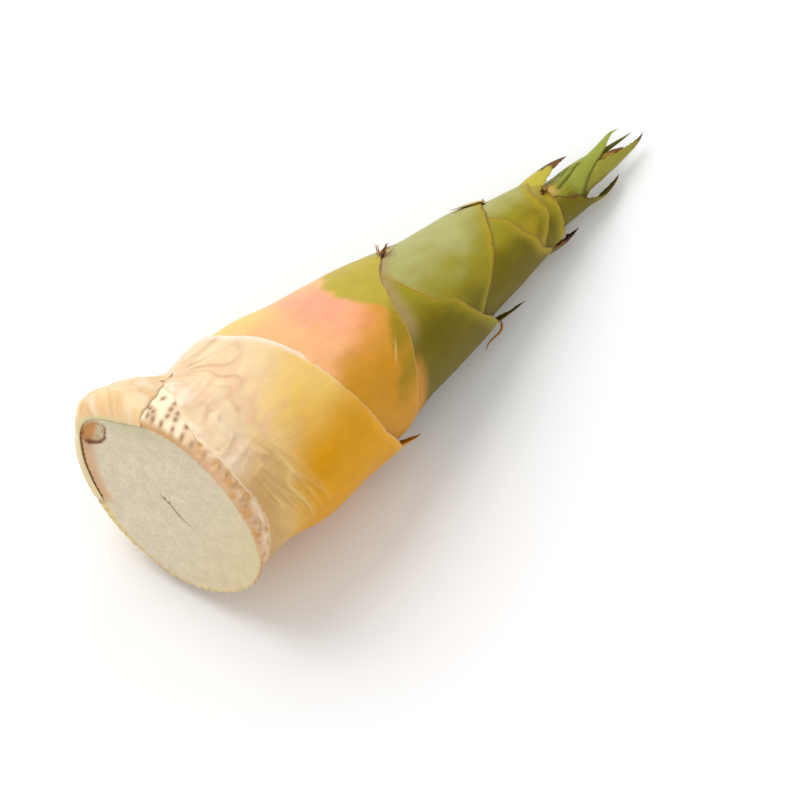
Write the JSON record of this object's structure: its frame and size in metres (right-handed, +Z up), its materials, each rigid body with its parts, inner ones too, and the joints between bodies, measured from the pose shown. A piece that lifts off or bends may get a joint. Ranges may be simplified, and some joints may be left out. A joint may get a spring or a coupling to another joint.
{
  "type": "bamboo shoot",
  "caption": "Fresh cut bamboo shoot lying on its side: a solid fleshy culm with a slanted cut face, wrapped in overlapping culm sheaths with small blades.",
  "frame": {"origin": "under the middle of the shoot's box, on the surface that it lies on", "axes": "+X runs level from the cut end towards the tip, along the longest extent; +Z is up"},
  "size_m": [0.2621, 0.0898, 0.0932],
  "materials": {
    "flesh": "moist cut shoot flesh with fine fibres",
    "cream_sheath": "satin sheath, wrinkled, cream to tan",
    "yellow_sheath": "satin sheath, parallel veined, cream to amber",
    "orange_sheath": "satin sheath, parallel veined, pink orange to olive",
    "olive_sheath": "satin sheath with a waxy bloom, olive green",
    "green_leaf": "satin leaf, yellow green"
  },
  "bodies": {
    "root": {"culm_flesh": "flesh", "sheath_01_stub": "cream_sheath", "sheath_02": "yellow_sheath", "sheath_03": "orange_sheath", "sheath_04": "olive_sheath", "sheath_05": "olive_sheath", "sheath_06": "olive_sheath", "sheath_07": "green_leaf", "sheath_08": "green_leaf", "sheath_09": "green_leaf", "tip_leaf_10": "green_leaf", "tip_leaf_11": "green_leaf", "tip_leaf_12": "green_leaf", "tip_leaf_13": "green_leaf"}
  },
  "joints": []
}
